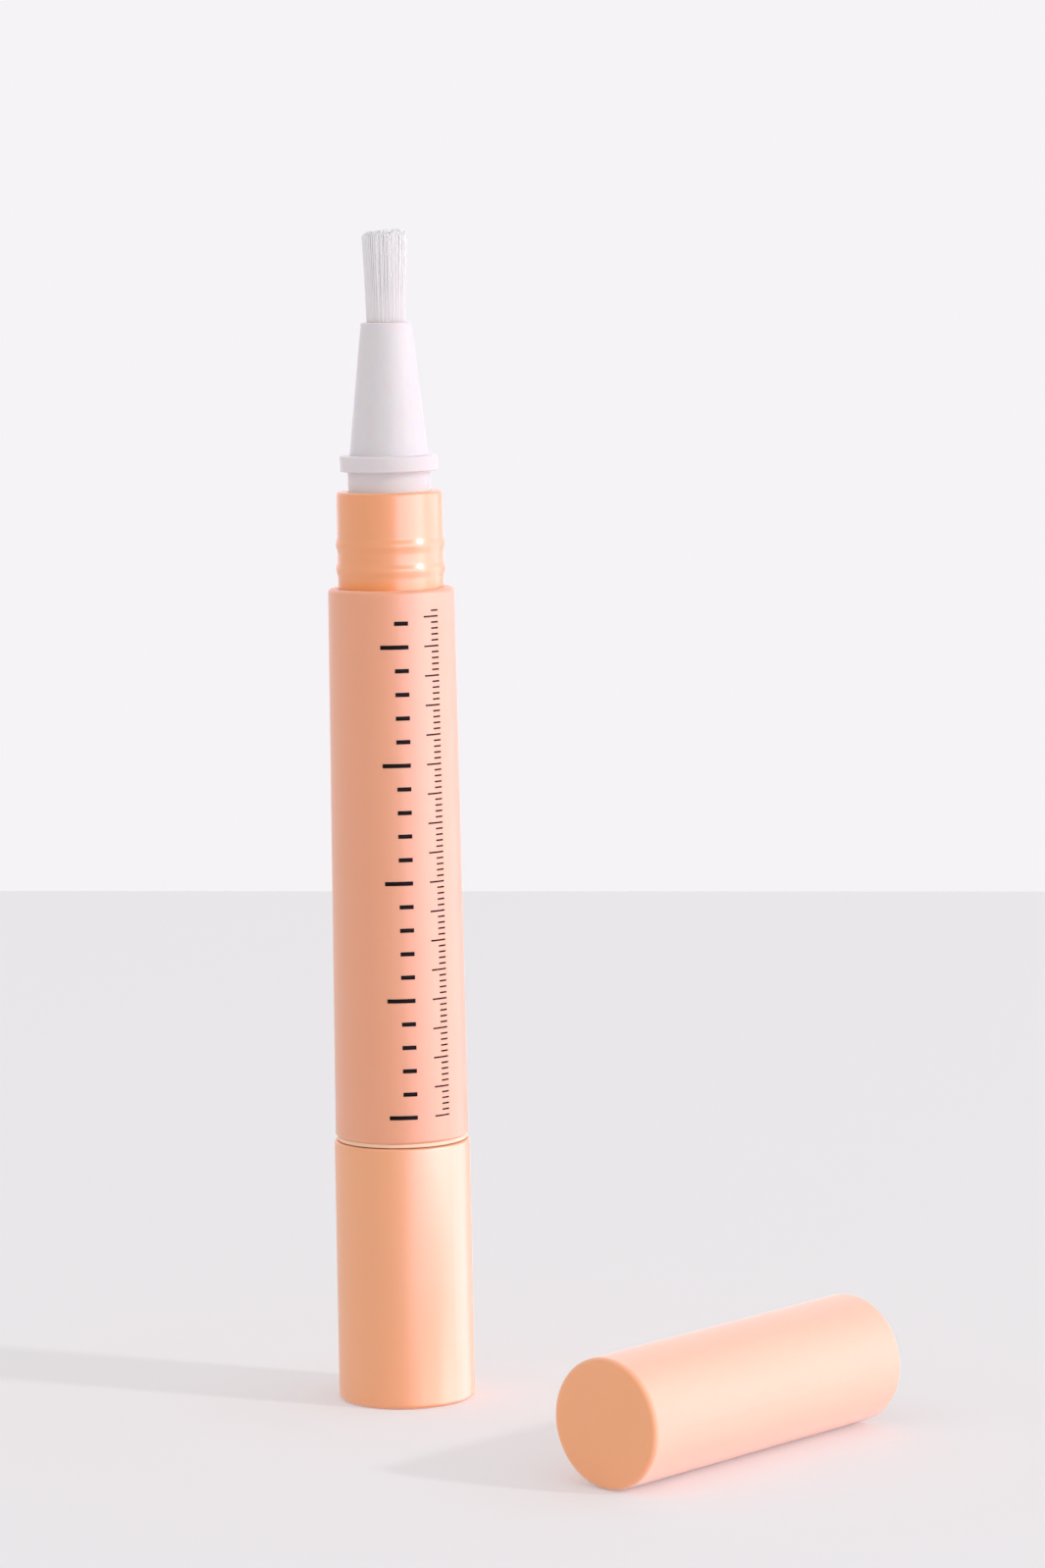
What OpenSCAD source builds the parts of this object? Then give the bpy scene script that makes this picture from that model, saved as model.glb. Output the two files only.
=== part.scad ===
// Nail oil pen: a twist-up brush pen with a pull-off cap. All sizes are in millimetres.
// The pen stands on the foot of its knob, with the origin at the centre of that foot and +Z up.
// Its cap is off and lies beside it on the same surface, with its mouth towards +Y.

/* [Barrel] */
// Outer diameter of the sleeve at its lower end
sleeve_d = 11.4; // [11.2:0.1:12.6]
// How much narrower the sleeve is at its shoulder
sleeve_draft = 0.65; // [0:0.05:1]
// Length of the sleeve from the seam to the shoulder
sleeve_l = 47; // [38:0.5:65]
// Width of the shoulder round the neck
shoulder_w = 0.875; // [0.8:0.025:1.2]
// Wall of the reservoir tube
reservoir_wall = 0.6; // [0.45:0.05:0.7]
// Wall of the neck round the nozzle's stem
neck_wall = 0.97; // [0.8:0.01:1.2]
// Length of the neck above the shoulder
neck_l = 8.2; // [7.4:0.1:11]
// Height of a snap bead above the neck
bead_rise = 0.15; // [0.1:0.05:0.35]
// Width of a snap bead
bead_w = 1.4; // [1:0.1:1.6]
// Height of the lower snap bead above the shoulder
bead_low_up = 1.65; // [1.5:0.05:1.9]
// Distance from one snap bead to the next
bead_step = 2.1; // [1.9:0.05:2.4]

/* [Nozzle] */
// Length of stem that shows between the neck and the collar
stem_show = 1.7; // [1:0.1:3]
// How far the collar is set in from the neck
collar_in = 0.35; // [0.2:0.05:0.7]
// Height of the collar
collar_h = 1.35; // [0.8:0.05:2]
// How far the foot of the cone is set in from the stem
cone_in = 0.175; // [0:0.025:0.4]
// Wall of the cone at the brush
cone_tip_wall = 0.5; // [0.4:0.05:0.8]
// Height of the cone
cone_h = 11.2; // [9:0.1:16]

/* [Brush] */
// Diameter of the tuft where it leaves the cone, as a share of the stem's
brush_share = 0.477; // [0.4:0.001:0.48]
// Diameter of the tuft at its tip, as a share of that where it leaves the cone
flare_share = 1.18; // [1:0.01:1.3]
// Length of tuft that shows above the cone
brush_show = 7.95; // [5:0.1:12]
// Number of strands in the tuft
strands = 360; // [300:10:500]
// Thickness of one strand, as a share of the tuft's diameter
strand_share = 0.031; // [0.02:0.001:0.034]
// How much lower the tuft is cut on one side than on the other
trim_slant = 0.3; // [0:0.05:1]
// Direction in which the cut rises, in degrees from +X
trim_dir = 42; // [0:1:359]
// Outer diameter of the feed tube in the tuft, as a share of the tuft's
feed_share = 0.31; // [0.25:0.01:0.36]
// Bore of the feed tube, as a share of its outer diameter
feed_bore_share = 0.6; // [0.4:0.05:0.75]

/* [Cap] */
// Thickness of the cap's closed end
cap_end_wall = 0.9; // [0.8:0.1:2]
// Space left over the brush tip when the cap is on
cap_tip_gap = 0.3; // [0.2:0.1:2]
// Radius of the edge round the cap's closed end
cap_end_round = 0.5; // [0.2:0.05:0.9]
// Distance from the pen's axis to the axis of the cap that lies beside it
cap_beside = 36.2; // [14:0.1:60]

/* [Knob] */
// How much wider the knob's foot is than the sleeve
knob_spare = 0.3; // [0:0.05:0.4]
// How much narrower the knob is at its top
knob_draft = 0.1; // [0:0.05:0.3]
// Height of the knob
knob_h = 22.5; // [19:0.5:30]
// Wall of the knob
knob_wall = 1; // [0.8:0.05:1.2]
// Thickness of the knob's closed foot
knob_floor = 1.2; // [0.8:0.1:2]

/* [Drive] */
// Rise of the lead screw for one turn of the knob
screw_pitch = 2; // [1:0.25:3]
// Outer diameter of the driver tube that turns the lead screw, as a share of the bore round it
driver_share = 0.6; // [0.55:0.01:0.62]
// Thickness of the lead screw across its two flats, as a share of its diameter
flat_share = 0.75; // [0.7:0.01:0.85]
// Length of the keyed bore at the top of the driver tube
key_l = 2.6; // [2:0.1:4]
// Length of the nut inside the tail tube
nut_l = 3.7; // [3:0.1:5]
// Length of the piston
piston_l = 7; // [6:0.1:9]

/* [Ratchet] */
// Number of teeth on each ratchet crown
teeth = 12; // [8:1:18]
// Height of a ratchet tooth
tooth_h = 0.6; // [0.4:0.05:0.8]
// Wire diameter of the ratchet spring
wire_d = 0.5; // [0.35:0.05:0.6]
// Number of curls in the ratchet spring
curls = 6; // [4:1:8]
// Length of the ratchet spring
spring_l = 7.6; // [7:0.1:9]

/* [Hidden] */
$fn = 96;
arc_steps = 5;
bead_steps = 8;

// Colours of the mouldings
sleeve_colour = [0.98, 0.77, 0.68];
knob_colour = [0.98, 0.74, 0.60];
neck_colour = [0.97, 0.67, 0.50];
white_colour = [0.94, 0.93, 0.94];
brush_colour = [0.90, 0.88, 0.88];
inner_colour = [0.86, 0.87, 0.88];
drive_colour = [0.55, 0.60, 0.66];
seal_colour = [0.25, 0.26, 0.28];
steel_colour = [0.72, 0.73, 0.75];

// Clearances, each on one side
run_fit = 0.06;
seat_fit = 0.03;
seal_fit = 0.03;
thrust_gap = 0.1;
overrun = 0.1;

// Small sizes of the knob, the tail tube and the drive
seam_gap = 0.1;
foot_round = 0.45;
lip_round = 0.2;
tail_wall = 0.7;
tail_flange_t = 0.3;
tail_flange_in = 0.15;
tail_lip = 0.25;
tail_step_drop = 0.6;
ring_t = 0.4;
ring_bite = 0.3;
ring_split = 1.6;
flange_t = 1.2;
crown_back_t = 1.1;
slider_back_t = 1.6;
driver_wall = 0.7;
screw_play = 0.15;
driver_foot_wall = 0.45;
driver_foot_gap = 0.3;
rib_rise = 0.4;
rib_w = 0.8;
ribs = 4;
spline_rise = 0.25;
spline_w = 0.6;
splines = 8;
hub_wall = 0.5;
hub_gap = 0.4;
tooth_land = 0.15;
mesh_share = 0.055;
screw_foot_gap = 1;
key_spare = 0.2;
nut_gap = 0.4;
nut_seat_wall = 0.8;
nut_flange_t = 0.7;
nut_flange_in = 0.1;
nut_key_w = 1;
nut_key_rise = 0.4;
head_h = 1.8;
head_in = 0.05;
head_neck_h = 0.9;
head_neck_in = 0.5;
head_chamfer = 0.3;
lip_t = 0.7;
piston_foot_gap = 0.3;
piston_dish = 1;
piston_cord_share = 0.153;
piston_seal_from_end = 1.6;
piston_end_gap = 0.4;
groove_spare = 0.1;

// Small sizes of the barrel, the nozzle and the brush
sleeve_foot_round = 0.25;
shoulder_round = 0.35;
rim_round = 0.25;
chamber_rise = 1.5;
throat_h = 0.8;
stem_foot_gap = 0.4;
stem_chamfer = 0.3;
stem_snap_rise = 0.15;
stem_snap_w = 0.5;
stem_snap_share = 0.28;
stem_seal_share = 0.66;
stem_cord_share = 0.19;
stem_bore_share = 0.7;
collar_round = 0.15;
cone_tip_round = 0.12;
tuft_seat_up = 3.45;
root_ledge = 0.25;
root_t = 0.6;
bush_flange_t = 0.7;
bush_seat_up = 0.3;
plug_gap = 0.1;
plug_up = 1.9;
plug_bore_share = 0.15;
feed_up = 1.4;
feed_down = 0.4;
edge_drop = 0.35;
strand_jitter = 0.06;
tuft_seed = 7;
golden_angle = 137.508;

// Small sizes of the cap
cap_mouth_round = 0.15;
cap_lead = 0.45;
cap_groove_spare = 0.1;
cap_collar_gap = 0.25;
cap_draft = 0.2;
cap_seat_spare = 0.2;

// Levels of the pen, from its foot to its tip
seam_z = knob_h + seam_gap;
sleeve_z = seam_z + tail_flange_t;
shoulder_z = sleeve_z + sleeve_l;
rim_z = shoulder_z + neck_l;
collar_z = rim_z + stem_show;
cone_z = collar_z + collar_h;
cone_tip_z = cone_z + cone_h;
tip_z = cone_tip_z + brush_show;

// Levels of the reservoir chamber and of the nozzle's stem
chamber_top_z = shoulder_z + chamber_rise;
throat_z = chamber_top_z + throat_h;
stem_z = throat_z + stem_foot_gap;
stem_in_l = rim_z - stem_z;
snap_z = stem_z + stem_snap_share * stem_in_l;
seal_z = stem_z + stem_seal_share * stem_in_l;

// Radii of the knob and tail tube, from the outside in
knob_r = (sleeve_d + knob_spare) / 2;
knob_top_r = knob_r - knob_draft / 2;
knob_bore_r = knob_r - knob_wall;
tail_r = knob_bore_r - run_fit;
tail_bore_r = tail_r - tail_wall;
tail_flange_r = sleeve_d / 2 - tail_flange_in;

// Radii of the sleeve, the reservoir and the stem in its neck
sleeve_top_r = (sleeve_d - sleeve_draft) / 2;
reservoir_r = sleeve_top_r - shoulder_w;
chamber_r = reservoir_r - reservoir_wall;
sleeve_bore_r = reservoir_r + seat_fit;
neck_bore_r = reservoir_r - neck_wall;
stem_r = neck_bore_r - seat_fit;

// Radii of the driver tube, lead screw and nut
driver_r = driver_share * tail_bore_r;
driver_bore_r = driver_r - driver_wall;
screw_r = driver_bore_r - screw_play;
screw_flat = flat_share * 2 * screw_r;
nut_bore_r = screw_r + run_fit;
plug_tail_r = chamber_r - seat_fit;
nut_r = plug_tail_r - nut_seat_wall - seat_fit;
foot_r = driver_r + driver_foot_wall;
foot_spline_r = foot_r + spline_rise;
hub_r = foot_spline_r + hub_wall;

// Levels of the ratchet, from the tail tube's step down
step_z = seam_z - tail_step_drop;
crown_valley_z = step_z - crown_back_t;
crown_crest_z = crown_valley_z - tooth_h;
slider_crest_z = crown_crest_z - thrust_gap;
slider_valley_z = slider_crest_z - tooth_h;
slider_z = slider_valley_z - slider_back_t;
flange_top_z = slider_z - spring_l;
flange_z = flange_top_z - flange_t;
ring_z = flange_z - thrust_gap - ring_t;
tail_z = ring_z - seat_fit - tail_lip;
hub_top_z = tail_z - hub_gap;

// Whole turns of stroke that the chamber leaves, and the levels that follow from them
screw_foot_z = knob_floor + screw_foot_gap;
fixed_l = key_spare + key_l + nut_gap + nut_l + nut_flange_t + piston_foot_gap + piston_l + piston_end_gap;
turns = floor((chamber_top_z - screw_foot_z - fixed_l) / (2 * screw_pitch));
stroke = turns * screw_pitch;
key_z = screw_foot_z + stroke + key_spare;
driver_top_z = key_z + key_l;
nut_z = driver_top_z + nut_gap;
nut_top_z = nut_z + nut_l;
piston_z = nut_top_z + nut_flange_t + piston_foot_gap;
piston_top_z = piston_z + piston_l;
head_z = piston_z + lip_t + thrust_gap;
head_top_z = head_z + head_h;

// Levels and radii inside the nozzle
tuft_seat_z = cone_z + tuft_seat_up;
root_z = tuft_seat_z - root_t;
bush_seat_z = collar_z + bush_seat_up;
bush_z = bush_seat_z - bush_flange_t;
collar_r = reservoir_r - collar_in;
stem_bore_r = stem_bore_share * stem_r;
stem_seal_cord = stem_cord_share * stem_r;
root_bore_r = stem_bore_r - root_ledge;
brush_r = brush_share * stem_r;
brush_bore_r = brush_r + seat_fit;
cone_tip_r = brush_r + cone_tip_wall;
feed_r = feed_share * brush_r;
feed_bore_r = feed_bore_share * feed_r;
strand_r = strand_share * brush_r;

// The cap, measured up from its mouth
cap_r = sleeve_top_r;
cap_l = tip_z - shoulder_z + cap_tip_gap + cap_end_wall;
cap_seat_r = reservoir_r + run_fit;
cap_well_r = collar_r + cap_collar_gap;
cap_well_z = neck_l + cap_seat_spare;

echo(total_height = tip_z, cap_length = cap_l, stroke = stroke, turns = turns);
echo(levels = [seam_z, shoulder_z, rim_z, collar_z, cone_z, cone_tip_z]);
echo(mechanism = [tail_z, flange_z, flange_top_z, slider_z, key_z, nut_z, nut_top_z, piston_z, piston_top_z]);

// Points of an arc in a profile, from one angle to another
function arc(x, z, r, from, to) = [
  for (i = [0:arc_steps])
    let (a = from + (to - from) * i / arc_steps)
      [x + r * cos(a), z + r * sin(a)]
];

// Points of a soft swelling on a wall of radius r, going up
function ridge(r, z, half_w, rise) = [
  for (i = [0:bead_steps])
    let (t = 2 * i / bead_steps - 1)
      [r + rise * (1 + cos(180 * t)) / 2, z + half_w * t]
];

// A list of points in the opposite order
function backwards(points) = [for (i = [len(points) - 1:-1:0]) points[i]];

// Sides of a tube of rings, as triangles, with its two ends closed
function tube_faces(rings, sides) = [
  for (i = [0:rings - 2]) for (j = [0:sides - 1])
    let (k = (j + 1) % sides, a = i * sides, b = a + sides)
      each [[a + j, b + k, a + k], [a + j, b + j, b + k]],
  for (j = [1:sides - 2]) [0, j, j + 1],
  for (j = [1:sides - 2])
    let (e = (rings - 1) * sides)
      [e, e + j + 1, e + j]
];

// A plain ring between two radii
module ring(r_in, r_out, z, h) {
  translate([0, 0, z])
    linear_extrude(h)
      difference() {
        circle(r = r_out);
        circle(r = r_in);
      }
}

// A round section with ribs standing out of it
module ribbed(r, rise, width, count) {
  circle(r = r);
  for (i = [0:count - 1])
    rotate(i * 360 / count)
      translate([0, -width / 2])
        square([r + rise, width]);
}

// The round section with two flats that the lead screw has
module two_flats(r, across) {
  intersection() {
    circle(r = r);
    square([2 * r + across, across], center = true);
  }
}

// Crown teeth: a ring whose top climbs along each tooth and then drops steeply
module crown_teeth(r_in, r_out, count, height, foot) {
  climb_share = [[0, 0], [0.3, 1 / 3], [0.6, 2 / 3], [0.9, 1], [0.94, 1]];
  columns = [
    for (t = [0:count - 1]) for (s = climb_share)
      [(t + s[0]) * 360 / count, s[1] * height]
  ];
  n = len(columns);
  points = [
    for (c = columns)
      each [
        [r_in * cos(c[0]), r_in * sin(c[0]), -foot],
        [r_out * cos(c[0]), r_out * sin(c[0]), -foot],
        [r_out * cos(c[0]), r_out * sin(c[0]), c[1]],
        [r_in * cos(c[0]), r_in * sin(c[0]), c[1]]
      ]
  ];
  faces = [
    for (i = [0:n - 1]) for (j = [0:3])
      let (k = (j + 1) % 4, a = 4 * i, b = 4 * ((i + 1) % n))
        each [[a + j, a + k, b + k], [a + j, b + k, b + j]]
  ];
  polyhedron(points, faces);
}

// Knob that the user turns, with a splined hub inside it
module knob() {
  color(knob_colour) {
    rotate_extrude()
      polygon(concat(
        [[0, 0]],
        arc(knob_r - foot_round, foot_round, foot_round, -90, 0),
        arc(knob_top_r - lip_round, knob_h - lip_round, lip_round, 0, 90),
        [[knob_bore_r, knob_h], [knob_bore_r, knob_floor], [0, knob_floor]]
      ));
    translate([0, 0, knob_floor - overrun])
      linear_extrude(hub_top_z - knob_floor + overrun)
        difference() {
          circle(r = hub_r);
          ribbed(foot_r + seat_fit, spline_rise, spline_w + 2 * seat_fit, splines);
        }
  }
}

// Tube that turns with the knob: splined foot, flange, ribs for the slider and a keyed top bore
module driver_tube() {
  foot_z = knob_floor + driver_foot_gap;
  color(drive_colour)
    difference() {
      union() {
        translate([0, 0, foot_z])
          linear_extrude(flange_z - foot_z + overrun)
            ribbed(foot_r, spline_rise, spline_w, splines);
        translate([0, 0, flange_z])
          cylinder(h = flange_t, r = tail_bore_r - run_fit);
        translate([0, 0, flange_top_z - overrun])
          linear_extrude(slider_valley_z - flange_top_z + overrun)
            ribbed(driver_r - overrun, rib_rise + overrun, rib_w, ribs);
        translate([0, 0, flange_top_z - overrun])
          cylinder(h = driver_top_z - flange_top_z + overrun, r = driver_r);
      }
      translate([0, 0, foot_z - overrun])
        cylinder(h = key_z - foot_z + overrun, r = driver_bore_r);
      translate([0, 0, key_z - overrun])
        linear_extrude(key_l + 2 * overrun)
          two_flats(screw_r + run_fit, screw_flat + 2 * run_fit);
    }
}

// Split ring in the tail tube's groove that keeps the driver tube in
module retaining_ring() {
  color(steel_colour)
    difference() {
      ring(foot_spline_r + ring_bite, tail_bore_r + ring_bite, ring_z, ring_t);
      translate([0, -ring_split / 2, ring_z - overrun])
        cube([tail_r, ring_split, ring_t + 2 * overrun]);
    }
}

// Fixed tube that carries the drive: the knob turns round it and the reservoir is pressed on it
module tail_tube() {
  groove_r = tail_bore_r + ring_bite + seat_fit;
  color(inner_colour)
    difference() {
      rotate_extrude()
        polygon([
          [tail_bore_r, tail_z],
          [tail_r, tail_z],
          [tail_r, seam_z],
          [tail_flange_r, seam_z],
          [tail_flange_r, sleeve_z],
          [plug_tail_r, sleeve_z],
          [plug_tail_r, nut_top_z],
          [nut_r + seat_fit, nut_top_z],
          [nut_r + seat_fit, nut_z - seat_fit],
          [driver_r + run_fit, nut_z - seat_fit],
          [driver_r + run_fit, step_z],
          [tail_bore_r, step_z],
          [tail_bore_r, ring_z + ring_t + seat_fit],
          [groove_r, ring_z + ring_t + seat_fit],
          [groove_r, ring_z - seat_fit],
          [tail_bore_r, ring_z - seat_fit]
        ]);
      translate([0, 0, nut_z + nut_gap - seat_fit])
        nut_keys(nut_r + nut_key_rise + seat_fit, nut_key_w + 2 * seat_fit, nut_l);
    }
}

// Two keys across the nut
module nut_keys(r, width, h) {
  linear_extrude(h)
    square([2 * r, width], center = true);
}

// Threaded nut, keyed into the top of the tail tube
module screw_nut() {
  color(drive_colour)
    difference() {
      union() {
        translate([0, 0, nut_z])
          cylinder(h = nut_l, r = nut_r);
        translate([0, 0, nut_z + nut_gap])
          nut_keys(nut_r + nut_key_rise, nut_key_w, nut_l - nut_gap + nut_flange_t / 2);
        translate([0, 0, nut_top_z])
          cylinder(h = nut_flange_t, r = plug_tail_r - nut_flange_in);
      }
      translate([0, 0, nut_z - overrun])
        cylinder(h = nut_l + nut_flange_t + 2 * overrun, r = nut_bore_r);
    }
}

// Lead screw with two flats, and a head that turns in the piston
module lead_screw() {
  head_r = screw_r - head_in;
  color(drive_colour) {
    translate([0, 0, screw_foot_z])
      linear_extrude(head_z - head_neck_h - screw_foot_z)
        two_flats(screw_r, screw_flat);
    translate([0, 0, head_z - head_neck_h - overrun])
      cylinder(h = head_neck_h + 2 * overrun, r = screw_r - head_neck_in);
    rotate_extrude()
      polygon([
        [0, head_z],
        [head_r, head_z],
        [head_r, head_top_z - head_chamfer],
        [head_r - head_chamfer, head_top_z],
        [0, head_top_z]
      ]);
  }
}

// Points of a square groove for a ring of round cord, going up
function seal_groove(r, floor_r, z, cord) = [
  [r, z - cord / 2 - groove_spare],
  [floor_r, z - cord / 2 - groove_spare],
  [floor_r, z + cord / 2 + groove_spare],
  [r, z + cord / 2 + groove_spare]
];

// Heights of the piston's two seal rings, and their cord
piston_seal_zs = [
  piston_z + piston_seal_from_end,
  piston_top_z - piston_dish - piston_seal_from_end
];
piston_seal_cord = piston_cord_share * chamber_r;
piston_groove_r = chamber_r - seal_fit - piston_seal_cord - seat_fit;

// Piston that pushes the oil up the reservoir
module piston() {
  side_r = chamber_r - run_fit;
  head_room_z = head_top_z + thrust_gap;
  color(white_colour)
    rotate_extrude()
      polygon(concat(
        [[screw_r - head_neck_in + run_fit, piston_z], [side_r, piston_z]],
        seal_groove(side_r, piston_groove_r, piston_seal_zs[0], piston_seal_cord),
        seal_groove(side_r, piston_groove_r, piston_seal_zs[1], piston_seal_cord),
        [
          [side_r, piston_top_z - piston_dish],
          [0, piston_top_z],
          [0, head_room_z],
          [screw_r - head_in + run_fit, head_room_z],
          [screw_r - head_in + run_fit, head_z - thrust_gap],
          [screw_r - head_neck_in + run_fit, head_z - thrust_gap]
        ]
      ));
}

// One ring of round cord, given its outer radius
module cord_ring(r_out, cord, z) {
  translate([0, 0, z])
    rotate_extrude()
      translate([r_out - cord / 2, 0])
        circle(d = cord, $fn = 32);
}

// Two seal rings on the piston
module piston_seals() {
  color(seal_colour)
    for (z = piston_seal_zs)
      cord_ring(chamber_r - seal_fit, piston_seal_cord, z);
}

// Fixed ratchet crown, pressed into the tail tube with its teeth down
module ratchet_crown() {
  color(drive_colour) {
    ring(driver_r + 2 * run_fit, tail_bore_r - seat_fit, crown_valley_z, crown_back_t);
    translate([0, 0, crown_valley_z])
      mirror([0, 0, 1])
        crown_teeth(
          foot_r + spline_rise, tail_bore_r - seat_fit - tooth_land, teeth, tooth_h, overrun
        );
  }
}

// Sliding ratchet crown, splined on the driver tube, at the top of its hop over the fixed teeth
module ratchet_slider() {
  color(inner_colour) {
    translate([0, 0, slider_z])
      linear_extrude(slider_back_t)
        difference() {
          circle(r = tail_bore_r - 2 * run_fit);
          ribbed(driver_r + run_fit, rib_rise, rib_w + 2 * run_fit, ribs);
        }
    translate([0, 0, slider_valley_z])
      rotate(-mesh_share * 360 / teeth)
        mirror([0, 1, 0])
          crown_teeth(
            foot_r + spline_rise, tail_bore_r - seat_fit - tooth_land, teeth, tooth_h, overrun
          );
  }
}

// Coil spring that pushes the slider up against the fixed crown
module ratchet_spring() {
  rings_per_curl = 8;
  sides = 6;
  coil_r = (driver_r + rib_rise + tail_bore_r) / 2;
  rings = curls * rings_per_curl + 1;
  rise = (spring_l - wire_d) / (rings - 1);
  low_z = flange_top_z + wire_d / 2;
  centres = [
    for (i = [0:rings - 1])
      let (a = i * 360 / rings_per_curl)
        [coil_r * cos(a), coil_r * sin(a), low_z + rise * i]
  ];
  points = [
    for (i = [0:rings - 1]) for (j = [0:sides - 1])
      let (a = i * 360 / rings_per_curl, b = j * 360 / sides)
        centres[i] + wire_d / 2 * [cos(b) * cos(a), cos(b) * sin(a), -sin(b)]
  ];
  gaps = [
    for (i = [0:rings - 1]) for (j = [i + rings_per_curl / 2:1:rings - 1])
      norm(centres[i] - centres[j]) - wire_d
  ];
  echo(least_gap_between_curls = min(gaps));
  color(steel_colour)
    polyhedron(points, tube_faces(rings, sides));
}

// Outer sleeve of the barrel
module outer_sleeve() {
  color(sleeve_colour)
    rotate_extrude()
      polygon(concat(
        [[sleeve_bore_r, sleeve_z]],
        arc(sleeve_d / 2 - sleeve_foot_round, sleeve_z + sleeve_foot_round, sleeve_foot_round, -90, 0),
        arc(cap_r - shoulder_round, shoulder_z - shoulder_round, shoulder_round, 0, 90),
        [[sleeve_bore_r, shoulder_z]]
      ));
}

// Reservoir tube: the oil chamber, and the neck with its two snap beads
module reservoir() {
  snap_r = neck_bore_r + stem_snap_rise;
  snap_half = stem_snap_w / 2 + groove_spare;
  color(neck_colour)
    rotate_extrude()
      polygon(concat(
        [[chamber_r, sleeve_z], [reservoir_r, sleeve_z]],
        ridge(reservoir_r, shoulder_z + bead_low_up, bead_w / 2, bead_rise),
        ridge(reservoir_r, shoulder_z + bead_low_up + bead_step, bead_w / 2, bead_rise),
        arc(reservoir_r - rim_round, rim_z - rim_round, rim_round, 0, 90),
        [
          [neck_bore_r, rim_z],
          [neck_bore_r, snap_z + snap_half + stem_snap_rise],
          [snap_r, snap_z + snap_half],
          [snap_r, snap_z - snap_half],
          [neck_bore_r, snap_z - snap_half - stem_snap_rise],
          [neck_bore_r, throat_z],
          [chamber_r, chamber_top_z]
        ]
      ));
}

// Groove floor under the nozzle's seal ring
stem_groove_r = neck_bore_r - seal_fit - stem_seal_cord - seat_fit;

// Nozzle: a stem that plugs into the neck, a collar, and a cone that holds the brush
module nozzle() {
  snap_half = stem_snap_w / 2;
  color(white_colour)
    rotate_extrude()
      polygon(concat(
        [
          [stem_bore_r, stem_z],
          [stem_r - stem_chamfer, stem_z],
          [stem_r, stem_z + stem_chamfer],
          [stem_r, snap_z - snap_half - stem_snap_rise],
          [stem_r + stem_snap_rise, snap_z - snap_half],
          [stem_r + stem_snap_rise, snap_z + snap_half],
          [stem_r, snap_z + snap_half + stem_snap_rise]
        ],
        seal_groove(stem_r, stem_groove_r, seal_z, stem_seal_cord),
        [[stem_r, collar_z]],
        arc(collar_r - collar_round, collar_z + collar_round, collar_round, -90, 0),
        arc(collar_r - collar_round, cone_z - collar_round, collar_round, 0, 90),
        [[stem_r - cone_in, cone_z]],
        arc(cone_tip_r - cone_tip_round, cone_tip_z - cone_tip_round, cone_tip_round, 0, 90),
        [
          [brush_bore_r, cone_tip_z],
          [brush_bore_r, tuft_seat_z],
          [root_bore_r, tuft_seat_z],
          [root_bore_r, bush_seat_z],
          [stem_bore_r, bush_seat_z]
        ]
      ));
}

// Seal ring round the nozzle's stem
module nozzle_seal() {
  color(seal_colour)
    cord_ring(neck_bore_r - seal_fit, stem_seal_cord, seal_z);
}

// Plug that slows the oil on its way to the brush
module flow_plug() {
  color(white_colour)
    ring(
      plug_bore_share * stem_bore_r, stem_bore_r - seat_fit,
      stem_z + plug_up, bush_z - plug_gap - stem_z - plug_up
    );
}

// Bush that holds the root of the tuft and the feed tube
module tuft_bush() {
  color(inner_colour)
    difference() {
      union() {
        translate([0, 0, bush_z])
          cylinder(h = bush_flange_t, r = stem_bore_r - seat_fit);
        translate([0, 0, bush_z])
          cylinder(h = root_z - bush_z, r = root_bore_r - seat_fit);
      }
      translate([0, 0, bush_z + feed_down])
        cylinder(h = root_z - bush_z, r = feed_r + seat_fit);
      translate([0, 0, bush_z - overrun])
        cylinder(h = feed_down + 2 * overrun, r = feed_bore_r);
    }
}

// Thin tube that carries the oil into the middle of the tuft
module feed_tube() {
  low_z = bush_z + feed_down + seat_fit;
  color(steel_colour)
    ring(feed_bore_r, feed_r, low_z, cone_tip_z + feed_up - low_z);
}

// Tuft of strands, fused to the disc of its melted root
module bristle_tuft() {
  inner_r = feed_r + seat_fit + 2 * strand_r;
  outer_r = brush_r - strand_r;
  jitter = rands(-strand_jitter, 0, strands, tuft_seed);
  // Height of the cut over a point of the root, slanted and rounded off at the edge
  function cut_z(x, y) =
    let (
      along = (x * cos(trim_dir) + y * sin(trim_dir)) / outer_r,
      out = norm([x, y]) / outer_r
    )
      tip_z - trim_slant * (1 - along) / 2 - edge_drop * pow(out, 8);
  // Each strand has its place on a sunflower spiral, and three rings of three points
  points = [
    for (i = [0:strands - 1])
      let (
        share = (i + 1 / 2) / strands,
        r = sqrt(inner_r * inner_r + (outer_r * outer_r - inner_r * inner_r) * share),
        x = r * cos(i * golden_angle),
        y = r * sin(i * golden_angle)
      )
        each [
          for (ring = [[1, root_z + root_t / 2], [1, cone_tip_z], [flare_share, cut_z(x, y) + jitter[i]]])
            for (j = [0:2])
              [
                x * ring[0] + strand_r * cos(120 * j),
                y * ring[0] + strand_r * sin(120 * j),
                ring[1]
              ]
        ]
  ];
  one = tube_faces(3, 3);
  faces = [for (i = [0:strands - 1]) for (f = one) [for (p = f) p + 9 * i]];
  color(brush_colour)
    resize([0, 0, 0])
      union() {
        polyhedron(points, faces);
        difference() {
          translate([0, 0, root_z])
            cylinder(h = root_t, r = root_bore_r - seat_fit);
          translate([0, 0, root_z - overrun])
            cylinder(h = root_t + 2 * overrun, r = feed_r + seat_fit);
        }
      }
}

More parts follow.
